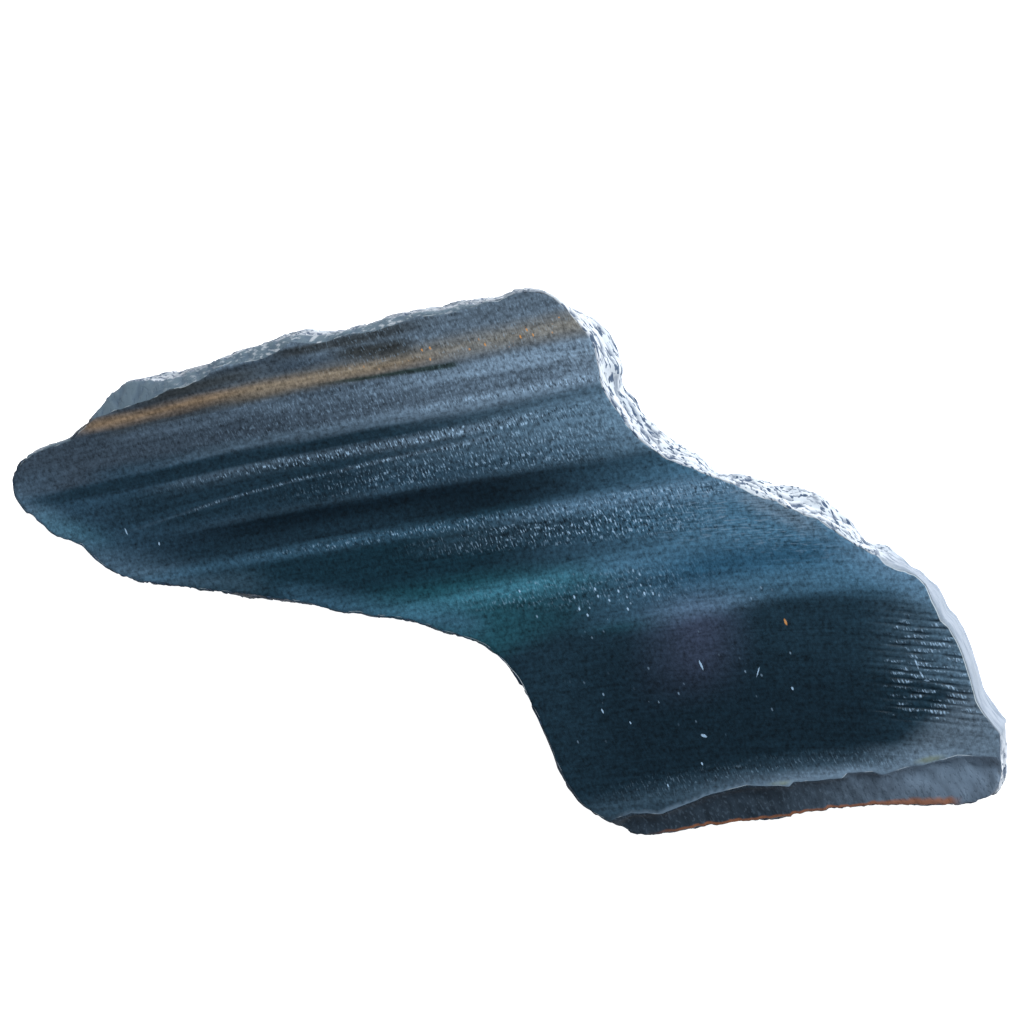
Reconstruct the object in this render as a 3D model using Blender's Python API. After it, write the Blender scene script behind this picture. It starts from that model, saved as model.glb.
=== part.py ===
"""A sawn slab of rough blue tiger's eye, also called hawk's eye, lying on its back saw cut.

The slab is one stone, so it is one solid. Two flat saw cuts run parallel to each other, and between
them stand the broken sides of the seam that the stone grew in. Flakes have come off the rim of the
upper cut, and along its lower right edge the stone broke away just below the saw and left a ledge.

Metres, +Z up. X runs along the slab and Z through its thickness. The origin is on the back saw cut,
in the middle of the slab's length and width.
"""

import math
from collections import namedtuple

import bmesh
import bpy
from mathutils import Vector, kdtree, noise
from mathutils.geometry import delaunay_2d_cdt, interpolate_bezier

MM = 0.001

# Between the two saw cuts.
THICKNESS = 9.0 * MM

# The rim of the upper saw cut in millimetres, anticlockwise from the left tip. A smooth curve runs
# through these points.
RIM_MM = [
    # the left tip, and the lower left edge with its nicks
    (-61.4, 8.5), (-61.1, 6.9), (-60.0, 5.3), (-57.5, 3.5), (-55.7, 2.0), (-52.3, 0.9), (-50.0, -1.1),
    (-46.4, -3.0), (-40.0, -3.9), (-32.1, -4.7), (-22.3, -5.6), (-20.8, -6.1), (-12.1, -7.0),
    (-4.8, -8.6), (-0.8, -9.8),
    # the hollow bend down to the foot
    (2.1, -12.2), (4.1, -14.8), (6.5, -19.6), (9.1, -25.9), (11.3, -28.9),
    # the foot, where the ledge starts, and the lower edge
    (12.9, -30.1), (14.8, -31.0), (16.9, -32.2), (19.1, -32.7), (22.1, -32.1), (27.6, -30.9),
    (34.7, -29.8), (40.4, -28.5), (49.3, -27.5), (56.5, -27.2),
    # the lower right corner, where the ledge ends, and the right edge
    (60.6, -25.7), (61.2, -23.9), (61.2, -21.1), (61.1, -18.2), (60.2, -17.2), (58.3, -14.5),
    (57.0, -10.2), (55.2, -6.0), (53.0, -2.7), (52.3, -1.0), (51.0, 0.2),
    # the upper right edge, and the hollow bend up to the crest
    (47.8, 1.7), (44.1, 3.5), (41.1, 5.4), (39.5, 6.4), (34.6, 8.5), (28.6, 10.7), (22.7, 12.8),
    (19.8, 14.4), (17.1, 16.8), (13.8, 21.5), (13.2, 25.2), (12.7, 26.9), (10.1, 30.1),
    # the crest, and the long upper edge back to the tip
    (7.9, 32.1), (6.3, 32.8), (4.4, 32.9), (1.0, 31.8), (-6.6, 30.4), (-11.9, 29.5), (-19.7, 27.5),
    (-24.8, 27.1), (-27.2, 26.4), (-34.7, 23.9), (-38.2, 22.5), (-40.6, 21.6), (-45.7, 21.4),
    (-48.2, 20.0), (-51.2, 16.3), (-52.8, 15.0), (-53.6, 14.1), (-57.7, 12.8), (-60.5, 10.8),
]
RIM_SPACING = 1.35 * MM

# Heights of the rings of the broken side, as shares of the way from the back to the flaked rim.
SIDE_SHARES = (0.04, 0.13, 0.24, 0.35, 0.46, 0.57, 0.68, 0.79, 0.88, 0.95, 1.0)
BACK_CHIP = 0.3 * MM

# The quartz fibres lie flat in the slab and cross its bands steeply. The side breaks into splinters
# that are drawn out along them.
FIBRE = Vector((0.42, -0.91, 0.0)).normalized()
SPLINTER_STRETCH = 3.0
# Size across the fibres, and how far the broken side stands out or in.
SPLINTERS = ((3.4 * MM, 0.6 * MM), (1.4 * MM, 0.45 * MM))
# The saw cut off the splinters' ends, so less of their relief is left at the rim.
RIM_RELIEF_SHARE = 0.3

# The side leans out towards the back by this much.
LEAN = 0.5 * MM

# Lumps of the broken side, in millimetres: the middle, the reach along the rim, the reach up and
# down, and how far the lump stands out. A negative one is a hollow.
LUMPS_MM = [
    ((8.3, 31.7, 1.0), 4.4, 9.0, -1.9),
    ((13.9, 23.2, 3.0), 3.0, 5.0, 1.6),
    ((14.6, 23.6, 5.6), 1.4, 2.2, -1.0),
    ((15.7, 18.9, 2.0), 2.4, 4.5, 0.6),
    ((19.0, 15.5, 2.5), 3.4, 5.5, 0.5),
    ((26.8, 11.4, 0.5), 3.4, 8.0, -1.3),
    ((37.9, 7.4, 1.5), 5.0, 4.5, 1.2),
    ((44.9, 3.1, 1.0), 3.0, 7.0, -1.2),
    ((50.9, -0.1, 1.0), 4.8, 8.0, -1.6),
    ((57.6, -12.3, 2.5), 4.0, 6.0, 1.7),
    ((61.3, -18.7, 4.5), 1.9, 2.8, 1.4),
    ((33.3, -29.9, 1.0), 11.0, 5.0, 0.4),
    ((3.7, -14.6, 1.0), 6.0, 5.0, 1.6),
    ((-29.7, -5.1, 2.0), 11.0, 5.0, 0.8),
    ((-54.3, 13.5, 1.0), 5.0, 8.0, -1.3),
    ((-17.7, 27.9, 1.0), 6.0, 7.0, -0.8),
    ((5.1, 32.9, 1.0), 3.6, 7.0, -0.7),
]

# Flakes struck off the rim, in millimetres: where on the rim, half the flake's length, how far it
# bites in across the saw cut, and how deep it goes down the side.
FLAKES_MM = [
    ((-45.9, 20.9), 6.4, 2.9, 1.8),
    ((-38.2, 22.8), 6.0, 1.4, 1.4),
    ((-29.3, 25.7), 6.0, 1.5, 1.3),
    ((-22.1, 27.3), 5.0, 0.9, 1.2),
    ((-13.7, 29.1), 6.0, 0.9, 1.1),
    ((-5.2, 30.9), 5.0, 0.6, 0.8),
    ((32.3, 9.4), 2.6, 0.5, 0.9),
    ((48.5, 1.4), 2.6, 0.6, 0.8),
    ((54.5, -4.9), 2.0, 0.6, 0.9),
    ((61.2, -24.6), 2.0, 0.7, 1.0),
]
LEAST_FLAKE = 0.15 * MM

# The ledge: its brow across the saw cut in millimetres, from the foot to the right edge. The broken
# strip below it starts this deep at the brow, and falls away from it.
BROW_MM = [
    (14.8, -31.0), (17.5, -29.8), (21.3, -29.7), (23.4, -28.7), (27.3, -27.0), (31.4, -25.8),
    (36.4, -25.7), (37.1, -25.1), (39.9, -24.8), (42.7, -24.4), (43.4, -23.7), (46.2, -23.5),
    (47.4, -23.8), (50.1, -22.8), (53.1, -22.1), (56.1, -21.1), (61.2, -21.1),
]
BROW_DROP = 0.45 * MM
BELOW_BROW = Vector((0.12, -0.33)) * MM
STRIP_DROP = 1.6 * MM
STRIP_REACH = 7.0 * MM
STRIP_SPACING = 1.5 * MM
STRIP_RELIEF = 0.18 * MM
STRIP_FLAKE_SIZE = 3.0 * MM

# Between the corners of the flat saw cuts.
FLAT_SPACING = 5.0 * MM

STONE_COLOUR = (0.045, 0.085, 0.115, 1.0)
STONE_ROUGHNESS = 0.4

# One place on the rim: where it is, the way out of the slab, how far in and how far down a flake
# has taken it, and the height of the stone's upper face there.
Station = namedtuple("Station", "point out bite depth top")


def clear_scene():
    for item in list(bpy.data.objects):
        bpy.data.objects.remove(item, do_unlink=True)


def millimetres(points):
    return [Vector(point) * MM for point in points]


def raised(point, height):
    return Vector((point.x, point.y, height))


def smooth_loop(points, spacing):
    """Points along the closed smooth curve through the given ones, about the spacing apart."""
    loop = []
    count = len(points)
    for i, here in enumerate(points):
        before, after, beyond = points[i - 1], points[(i + 1) % count], points[(i + 2) % count]
        reach = (after - here).length / 3
        leaving = here + (after - before).normalized() * reach
        arriving = after - (beyond - here).normalized() * reach
        steps = max(1, round((after - here).length / spacing))
        loop += interpolate_bezier(here, leaving, arriving, after, steps + 1)[:-1]
    return loop


def outward(loop, i):
    """The way out of an anticlockwise loop at one of its points."""
    along = loop[(i + 2) % len(loop)] - loop[i - 2]
    return Vector((along.y, -along.x)).normalized()


def search_tree(points):
    tree = kdtree.KDTree(len(points))
    for i, point in enumerate(points):
        tree.insert(raised(point, 0.0), i)
    tree.balance()
    return tree


def nearest(tree, point):
    """The number of the nearest of the tree's points, and how far off it is."""
    _, number, away = tree.find(raised(point, 0.0))
    return number, away


def bump(away, reach):
    """One in the middle, falling smoothly to nothing at the reach."""
    return max(0.0, 1.0 - (away / reach) ** 2) ** 2


def splinters(place, size):
    """Noise from about -1 to 1, drawn out along the fibres."""
    along = FIBRE * place.dot(FIBRE)
    return noise.noise((place - along + along / SPLINTER_STRETCH) / size)


def standing_out(place, share):
    """How far the broken side stands out from the rim's line."""
    relief = sum(splinters(place, size) * height for size, height in SPLINTERS)
    out = LEAN * (1 - share) + relief * (1 - (1 - RIM_RELIEF_SHARE) * share ** 3)
    for middle, along, upright, height in LUMPS_MM:
        away = place - Vector(middle) * MM
        out += height * MM * bump(away.xy.length, along * MM) * bump(away.z, upright * MM)
    return out


def flaked(point):
    """How far in and how far down the flakes go at a point of the rim."""
    bite = depth = LEAST_FLAKE
    for middle, half, flake_bite, flake_depth in FLAKES_MM:
        share = math.sqrt(bump((point - Vector(middle) * MM).length, half * MM))
        bite = max(bite, flake_bite * MM * share)
        depth = max(depth, flake_depth * MM * share)
    return bite, depth


def strip_height(point, brow_tree):
    """Height of the broken strip below the brow."""
    fall = math.sqrt(min(1.0, nearest(brow_tree, point)[1] / STRIP_REACH))
    rough = noise.noise(raised(point, 0.0) / STRIP_FLAKE_SIZE) * STRIP_RELIEF
    return THICKNESS - BROW_DROP - (STRIP_DROP - BROW_DROP) * fall + rough


def rim_stations(rim, first, last, brow_tree):
    """The stations of the rim. Between the first and the last lies the broken strip."""
    stations = []
    for i, point in enumerate(rim):
        top = strip_height(point, brow_tree) if first < i < last else THICKNESS
        stations.append(Station(point, outward(rim, i), *flaked(point), top))
    return stations


def side_ring(stations, share, inset=0.0):
    """Points round the broken side, at one share of its height."""
    points = []
    for station in stations:
        height = (station.top - station.depth) * share
        reach = standing_out(raised(station.point, height), share) - inset
        points.append(raised(station.point + station.out * reach, height))
    return points


def flaked_ring(stations, below):
    """The inner edge of the flakes, inside the uppermost ring of the side."""
    return [
        raised(point.xy - station.out * station.bite, station.top)
        for point, station in zip(below, stations)
    ]


def is_inside(point, loop):
    """Whether a point is inside a closed loop, by how many of its sides cross the way to the right."""
    crossings = 0
    for a, b in zip(loop, loop[1:] + loop[:1]):
        if (a.y > point.y) != (b.y > point.y):
            crossings += point.x < a.x + (b.x - a.x) * (point.y - a.y) / (b.y - a.y)
    return crossings % 2 == 1


def spread(loop, spacing):
    """Points in staggered rows inside a loop, clear of its own points."""
    tree = search_tree(loop)
    low = Vector((min(point.x for point in loop), min(point.y for point in loop)))
    high = Vector((max(point.x for point in loop), max(point.y for point in loop)))
    row_height = spacing * math.sqrt(3) / 2
    spots = []
    for row in range(int((high.y - low.y) / row_height) + 1):
        for column in range(int((high.x - low.x) / spacing) + 1):
            spot = low + Vector(((column + row % 2 / 2) * spacing, row * row_height))
            if is_inside(spot, loop) and nearest(tree, spot)[1] > spacing / 2:
                spots.append(spot)
    return spots


def corners_at(bm, points):
    return [bm.verts.new(point) for point in points]


def flat(corners):
    return [corner.co.xy for corner in corners]


def skin(bm, lower, upper):
    """Faces between two rings of corners."""
    for i in range(len(lower)):
        bm.faces.new((lower[i - 1], lower[i], upper[i], upper[i - 1]))


def cover(bm, ring, lines, loose):
    """Triangles inside a ring, with the given lines as edges and the loose corners in them."""
    corners = ring + [corner for line in lines for corner in line[1:-1]] + loose
    number = {corner: i for i, corner in enumerate(corners)}
    edges = [(number[a], number[b]) for a, b in zip(ring, ring[1:] + ring[:1])]
    for line in lines:
        edges += [(number[a], number[b]) for a, b in zip(line, line[1:])]
    _, _, triangles, sources, _, _ = delaunay_2d_cdt(flat(corners), edges, [], 1, 1e-7)
    for triangle in triangles:
        bm.faces.new([corners[sources[i][0]] for i in triangle])


def cover_top(bm, ring, first, last, brow, brow_tree):
    """The upper saw cut, the step at the brow, and the broken strip below it."""
    brow_corners = corners_at(bm, [raised(point, THICKNESS) for point in brow[1:-1]])
    foot = [raised(point + BELOW_BROW, THICKNESS - BROW_DROP) for point in brow[1:-1]]
    brow_line = [ring[first]] + brow_corners + [ring[last]]
    foot_line = [ring[first + 1]] + corners_at(bm, foot) + [ring[last - 1]]
    sawn_loop = flat(ring[:first] + brow_line + ring[last + 1:])
    strip_loop = flat(foot_line + ring[last - 2:first + 1:-1])
    loose = [raised(spot, THICKNESS) for spot in spread(sawn_loop, FLAT_SPACING)]
    for spot in spread(strip_loop, STRIP_SPACING):
        loose.append(raised(spot, strip_height(spot, brow_tree)))
    cover(bm, ring, [brow_line, foot_line], corners_at(bm, loose))


def cover_back(bm, ring):
    loose = [raised(spot, 0.0) for spot in spread(flat(ring), FLAT_SPACING)]
    cover(bm, ring, [], corners_at(bm, loose))


def slab_mesh():
    rim = smooth_loop(millimetres(RIM_MM), RIM_SPACING)
    brow = millimetres(BROW_MM)
    rim_tree, brow_tree = search_tree(rim), search_tree(brow)
    first, last = nearest(rim_tree, brow[0])[0], nearest(rim_tree, brow[-1])[0]
    stations = rim_stations(rim, first, last, brow_tree)

    rings = [side_ring(stations, 0.0, BACK_CHIP)]
    rings += [side_ring(stations, share) for share in SIDE_SHARES]
    rings += [flaked_ring(stations, rings[-1])]

    bm = bmesh.new()
    rings = [corners_at(bm, points) for points in rings]
    for lower, upper in zip(rings, rings[1:]):
        skin(bm, lower, upper)
    cover_top(bm, rings[-1], first, last, brow, brow_tree)
    cover_back(bm, rings[0])
    bmesh.ops.recalc_face_normals(bm, faces=bm.faces)
    mesh = bpy.data.meshes.new("slab")
    bm.to_mesh(mesh)
    bm.free()
    return mesh


def stone_material():
    material = bpy.data.materials.new("blue tiger's eye")
    material.use_nodes = True
    shader = material.node_tree.nodes["Principled BSDF"]
    shader.inputs["Base Color"].default_value = STONE_COLOUR
    shader.inputs["Roughness"].default_value = STONE_ROUGHNESS
    shader.inputs["Metallic"].default_value = 0.0
    return material


def main():
    clear_scene()
    mesh = slab_mesh()
    mesh.materials.append(stone_material())
    mesh.shade_smooth()
    mesh.set_sharp_from_angle(angle=math.radians(30))
    slab = bpy.data.objects.new("slab", mesh)
    bpy.context.collection.objects.link(slab)


main()
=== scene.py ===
import math

import bmesh
import bpy
from mathutils import Matrix, Vector, kdtree, noise


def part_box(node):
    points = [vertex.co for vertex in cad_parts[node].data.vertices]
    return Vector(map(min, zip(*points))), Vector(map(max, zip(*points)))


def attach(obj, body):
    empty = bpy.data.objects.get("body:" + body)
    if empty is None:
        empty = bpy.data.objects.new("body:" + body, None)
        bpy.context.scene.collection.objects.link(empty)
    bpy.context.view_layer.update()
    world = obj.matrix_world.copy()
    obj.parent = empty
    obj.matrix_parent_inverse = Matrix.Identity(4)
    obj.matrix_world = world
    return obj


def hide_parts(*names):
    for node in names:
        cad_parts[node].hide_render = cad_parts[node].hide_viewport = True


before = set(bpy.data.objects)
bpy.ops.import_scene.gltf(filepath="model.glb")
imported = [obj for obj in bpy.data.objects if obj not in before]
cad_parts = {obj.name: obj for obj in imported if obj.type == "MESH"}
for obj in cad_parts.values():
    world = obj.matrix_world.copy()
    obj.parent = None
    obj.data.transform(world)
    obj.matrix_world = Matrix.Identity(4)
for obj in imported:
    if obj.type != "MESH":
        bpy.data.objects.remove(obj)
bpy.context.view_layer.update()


# ---------------------------------------------------------------------------------------------
# The slab: one piece of blue tiger's eye, a quartz full of fine fibres, sawn flat above and below.
# Its sides are the broken seam, its rim is flaked, and along the lower right edge the upper cut
# ends at a broken ledge, stained with rust.

MM = 0.001
SAWN, SIDE, FRESH, BACK = range(4)

slab_low, slab_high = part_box("slab")
thickness = slab_high.z
bm = bmesh.new()
bm.from_mesh(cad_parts["slab"].data)
bmesh.ops.remove_doubles(bm, verts=bm.verts, dist=0.001 * MM)
bm.normal_update()

# A face's tilt, height and place tell the two saw cuts and the fresh break from the old side.
FLAT = 0.9999
CUT_SLACK = 0.01 * MM
FRESH_NORMAL = 0.3
FRESH_DEPTH = 3.4 * MM
FRESH_TOP_Y = -19 * MM


def kind_of(face):
    """Sawn above, sawn below, freshly broken or old broken side."""
    middle = face.calc_center_median()
    if face.normal.z > FLAT and middle.z > thickness - CUT_SLACK:
        return SAWN
    if face.normal.z < -FLAT and middle.z < CUT_SLACK:
        return BACK
    high = middle.z > thickness - FRESH_DEPTH
    if face.normal.z > FRESH_NORMAL and high and middle.y < FRESH_TOP_Y:
        return FRESH
    return SIDE


for face in bm.faces:
    face.material_index = kind_of(face)
# Facets of the side that only lean like the fresh break, and don't hang on to it, stay side.
leaning = {face for face in bm.faces if face.material_index == FRESH}
fresh = set()
spread = [
    face for face in leaning
    if any(other.material_index == SAWN for edge in face.edges for other in edge.link_faces)
]
while spread:
    face = spread.pop()
    if face in leaning and face not in fresh:
        fresh.add(face)
        spread += [other for edge in face.edges for other in edge.link_faces]
for face in leaning - fresh:
    face.material_index = SIDE

# The broken faces get a mesh fine enough for their splinters.
SIDE_CUTS = 3
broken = [
    edge for edge in bm.edges
    if any(face.material_index in (SIDE, FRESH) for face in edge.link_faces)
]
bmesh.ops.subdivide_edges(bm, edges=broken, cuts=SIDE_CUTS, use_grid_fill=True)


def kinds_at(vert):
    """The kinds of the faces round a vertex."""
    return {face.material_index for face in vert.link_faces}


# The facets of the solid are smoothed away before the splinters go on.
SMOOTHINGS = 4
loose = [vert for vert in bm.verts if kinds_at(vert) <= {SIDE, FRESH}]
for _ in range(SMOOTHINGS):
    bmesh.ops.smooth_vert(
        bm, verts=loose, factor=0.5, use_axis_x=True, use_axis_y=True, use_axis_z=True
    )
bm.normal_update()

FIBRE = Vector((0.42, -0.91, 0.0)).normalized()


def along_fibres(place, stretch):
    """The place, drawn together along the fibres so that noise in it comes out long."""
    along = FIBRE * place.dot(FIBRE)
    return place - along + along / stretch


def step(low, high, value):
    """A smooth step from 0 to 1 as the value goes from low to high."""
    share = min(1.0, max(0.0, (value - low) / (high - low)))
    return share * share * (3 - 2 * share)


# Height and width of the broken side's splinters, ridges, grain and pits, all drawn out long.
SPLINTER = (0.2 * MM, 1.9 * MM)
RIDGE = (0.13 * MM, 0.8 * MM)
GRAIN = (0.05 * MM, 0.35 * MM)
PIT = (0.3 * MM, 0.8 * MM)
SPLINTER_STRETCH = 3.5
PIT_STRETCH = 2.4


def splinter_relief(place):
    """Height of the broken surface over the solid's, and how deep in a pit the place is."""
    drawn = along_fibres(place, SPLINTER_STRETCH)
    height = SPLINTER[0] * noise.noise(drawn / SPLINTER[1])
    height += RIDGE[0] * (1 - 2 * abs(noise.noise(drawn / RIDGE[1] + Vector((7, 3, 1)))))
    height += GRAIN[0] * noise.noise(drawn / GRAIN[1])
    drawn = along_fibres(place, PIT_STRETCH)
    pit = step(0.08, 0.3, noise.noise(drawn / PIT[1] + Vector((31, 5, 11))))
    return height - PIT[0] * pit, pit


def smooth_break(place):
    """The right end broke along a smooth plane, and the rest of the side did not."""
    return step(45 * MM, 50 * MM, place.x) * step(-23 * MM, -19 * MM, place.y)


# What each vertex knows of its place, for the relief here and for the materials:
# depth in a pit, where the rim gets painted shade, slope, how far a side faces the window for its
# painted light, where the rim gets a painted highlight, way to the lip in mm, way to the lower hem
# of the fresh break in mm, and roughness of the break.
pit_layer = bm.verts.layers.float.new("pit")
rim_shade_layer = bm.verts.layers.float.new("edge")
slope_layer = bm.verts.layers.float.new("slope")
lit_side_layer = bm.verts.layers.float.new("lit_side")
rim_highlight_layer = bm.verts.layers.float.new("rim_highlight")
lip_layer = bm.verts.layers.float.new("lip")
hem_layer = bm.verts.layers.float.new("hem")
rough_layer = bm.verts.layers.float.new("rough")
FAR = 99.0
LIT_SIDE_WAY = Vector((0.87, 0.5, 0))
FRESH_ROUGH = 0.3
JAG = (0.12 * MM, 0.9 * MM)
FINE_JAG = (0.03 * MM, 0.35 * MM)
JAG_INSET = 0.04 * MM
JAG_STRETCH = 2.0
FOOT = 0.8 * MM
moves = {}
for vert in bm.verts:
    kinds = kinds_at(vert)
    if not kinds & {SIDE, FRESH}:
        continue
    flat_normal = Vector((vert.normal.x, vert.normal.y, 0)).normalized()
    tilts = [face.normal.z for face in vert.link_faces if face.material_index in (SIDE, FRESH)]
    vert[slope_layer] = step(0.06, 0.5, sum(tilts) / len(tilts))
    # Painted light: a side is paler the more it faces the window's way.
    vert[lit_side_layer] = step(-0.3, 0.8, flat_normal.dot(LIT_SIDE_WAY))
    vert[rough_layer] = 1 - smooth_break(vert.co)
    if SAWN in kinds or BACK in kinds:
        drawn = along_fibres(vert.co, JAG_STRETCH)
        jag = JAG[0] * noise.noise(drawn / JAG[1])
        jag += FINE_JAG[0] * noise.noise(drawn / FINE_JAG[1])
        moves[vert] = flat_normal * (jag - JAG_INSET)
        continue
    height, pit = splinter_relief(vert.co)
    rough = (1 - 0.75 * smooth_break(vert.co)) * (1 - 0.6 * vert[slope_layer])
    if kinds == {FRESH}:
        rough = FRESH_ROUGH
        pit = 0.0
    vert[pit_layer] = pit * rough
    moves[vert] = vert.normal * height * rough * step(0.0, FOOT, vert.co.z)
for vert, move in moves.items():
    vert.co += move


def border(one, other):
    """The vertices between two kinds of face, and a tree of their places seen from above."""
    edges = [
        edge for edge in bm.edges
        if {face.material_index for face in edge.link_faces} == {one, other}
    ]
    points = dict.fromkeys(vert for edge in edges for vert in edge.verts)
    tree = kdtree.KDTree(len(points))
    for number, vert in enumerate(points):
        tree.insert(vert.co.xy.to_3d(), number)
    tree.balance()
    return points, tree


# The smooth plane of the right end stands straight down from its rim.
PLANE_REACH = 0.4 * MM
_, rim_line = border(SAWN, SIDE)
for vert in bm.verts:
    kinds = kinds_at(vert)
    nearest, _, away = rim_line.find(vert.co.xy.to_3d())
    if SIDE in kinds and kinds <= {SIDE, BACK} and away > PLANE_REACH:
        share = smooth_break(vert.co) * (1 - PLANE_REACH / away)
        vert.co.xy += (nearest.xy - vert.co.xy) * share

# The lip is where the upper cut ends at the fresh break, the hem is the lower edge of that break.
lip_points, lip = border(SAWN, FRESH)
_, hem = border(FRESH, SIDE)

# The upper cut is one flat face again, with a rim a little lower than the field inside it.
RIM_WIDTH = 0.16 * MM
RIM_DROP = 0.07 * MM
field_layer = bm.faces.layers.int.new("field")
sawn = [face for face in bm.faces if face.material_index == SAWN]
sawn = bmesh.ops.dissolve_faces(bm, faces=sawn, use_verts=False)["region"]
bmesh.ops.inset_region(
    bm, faces=sawn, thickness=RIM_WIDTH, depth=0, use_boundary=True, use_even_offset=True
)
for face in sawn:
    face[field_layer] = 1
# The rim gets a painted highlight at the right end and in the hollow's bend, and in places along
# the shoulder where its chips catch the light; elsewhere it gets painted shade, but neither beside
# the fresh break.
HOLLOW_BEND = Vector((3.4, -13.5)) * MM
rim = {vert for vert in bm.verts if SAWN in kinds_at(vert) and len(kinds_at(vert)) > 1}
for vert in rim:
    place = vert.co
    rim_highlight = step(44 * MM, 50 * MM, place.x) * step(-19 * MM, -15 * MM, place.y)
    bend = 1 - step(2 * MM, 4 * MM, (place.xy - HOLLOW_BEND).length)
    clean = step(20 * MM, 26 * MM, place.x) * step(-24 * MM, -21 * MM, place.y)
    chip_highlight = vert[slope_layer] * step(0.0, 0.25, noise.noise(place / (1.8 * MM)))
    vert[rim_highlight_layer] = 0.0 if vert in lip_points else max(rim_highlight, bend, 0.7 * chip_highlight)
    vert[rim_shade_layer] = 0.0 if vert in lip_points else (1 - clean) * (1 - vert[slope_layer])
    place.z -= RIM_DROP


# The field gets a grid fine enough for its waves, and finer rows where the comb is.
GRID = 0.5 * MM
COMB_GRID = 0.2 * MM
COMB_LOW = Vector((43.0, -24.5, 0)) * MM
COMB_HIGH = Vector((62.0, -2.0, 0)) * MM
SNAP = 0.0001 * MM


def saw_lines(axis, start, end, pitch, wanted):
    """Cuts the field's faces along lines square to the axis, where wanted says so."""
    line = start + pitch
    while line < end:
        cut = [face for face in bm.faces if face[field_layer] and wanted(face)]
        geom = cut + list(dict.fromkeys(edge for face in cut for edge in face.edges))
        geom += list(dict.fromkeys(vert for face in cut for vert in face.verts))
        place = Vector((0, 0, 0))
        place[axis] = line
        normal = Vector((0, 0, 0))
        normal[axis] = 1
        bmesh.ops.bisect_plane(bm, geom=geom, dist=SNAP, plane_co=place, plane_no=normal)
        line += pitch


def in_comb(face):
    """Whether a face lies where the comb is."""
    middle = face.calc_center_median()
    return COMB_LOW.x < middle.x < COMB_HIGH.x and COMB_LOW.y < middle.y < COMB_HIGH.y


saw_lines(0, slab_low.x, slab_high.x, GRID, lambda face: True)
saw_lines(1, slab_low.y, slab_high.y, GRID, lambda face: True)
saw_lines(1, COMB_LOW.y, COMB_HIGH.y, COMB_GRID, in_comb)

# Relief of the upper cut: comb-like ridges at the right end, a hackled corner, faint waves.
COMB_PITCH = 0.8 * MM
COMB_DEPTH = 0.2 * MM
HACKLE_DEPTH = 0.12 * MM
WAVE_DEPTH = 0.02 * MM
comb_layer = bm.verts.layers.float.new("comb")
groove_layer = bm.verts.layers.float.new("groove")
field_verts = {vert for face in bm.faces if face[field_layer] for vert in face.verts} - rim
for vert in field_verts:
    place = vert.co
    comb = step(43.5 * MM, 51 * MM, place.x) * step(-18.5 * MM, -16 * MM, place.y)
    comb *= 1 - step(-6.0 * MM, -2.0 * MM, place.y)
    phase = (place.y + 0.07 * place.x) / COMB_PITCH + 0.35 * noise.noise(place / (4 * MM))
    groove = step(0.4, 0.95, abs(phase % 1.0 - 0.5) * 2)
    patchy = noise.noise(Vector((place.x / (2.2 * MM), place.y / (0.7 * MM), 4)))
    comb *= min(1.0, max(0.0, 0.6 + 1.1 * patchy))
    vert[comb_layer] = comb * (1 - groove)
    vert[groove_layer] = comb * groove
    place.z -= COMB_DEPTH * comb * groove
    corner = step(50 * MM, 54 * MM, place.x) * (1 - step(-20.5 * MM, -17.5 * MM, place.y))
    hackle = 0.5 + noise.noise(along_fibres(place, 0.4) / (1.2 * MM) + Vector((9, 1, 6)))
    place.z -= HACKLE_DEPTH * corner * max(0.0, hackle)
    place.z -= WAVE_DEPTH * (0.5 + noise.noise(along_fibres(place, 3.0) / (1.5 * MM)))

for vert in bm.verts:
    kinds = kinds_at(vert)
    vert[lip_layer] = lip.find(vert.co.xy.to_3d())[2] / MM if SAWN in kinds else FAR
    vert[hem_layer] = hem.find(vert.co.xy.to_3d())[2] / MM if FRESH in kinds else FAR

# The stone is shaded smooth, but sharp where one kind of face meets another.
for face in bm.faces:
    face.smooth = True
for edge in bm.edges:
    kinds = {face.material_index for face in edge.link_faces}
    edge.smooth = len(kinds) == 1
slab_mesh = bpy.data.meshes.new("blue_tigers_eye_slab")
bm.to_mesh(slab_mesh)
bm.free()
slab = bpy.data.objects.new("blue_tigers_eye_slab", slab_mesh)
bpy.context.collection.objects.link(slab)
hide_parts("slab")
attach(slab, "root")

# The stone's colours, as red, green and blue of 255.
COLOURS = {
    "ink": (9, 25, 33),
    "night": (31, 49, 62),
    "abyss": (14, 44, 55),
    "deep": (44, 67, 85),
    "slate": (59, 72, 86),
    "ash": (100, 118, 136),
    "mist": (120, 144, 168),
    "sea": (106, 137, 163),
    "blue": (73, 112, 140),
    "sky": (88, 120, 147),
    "denim": (30, 67, 92),
    "teal": (39, 88, 102),
    "lagoon": (63, 117, 139),
    "umber": (49, 51, 50),
    "bronze": (134, 129, 117),
    "gold": (131, 112, 90),
    "plum": (79, 85, 113),
    "moss": (38, 52, 50),
    "frost": (164, 198, 230),
    "white": (214, 228, 240),
    "amber": (206, 148, 88),
    "rust": (152, 98, 66),
    "lit_side": (206, 214, 224),
    "bevel": (90, 108, 122),
    "pit": (52, 72, 98),
    "break": (42, 55, 68),
    "break, pale": (96, 114, 134),
    "smooth side": (140, 152, 168),
    "lichen": (140, 150, 112),
}
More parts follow.
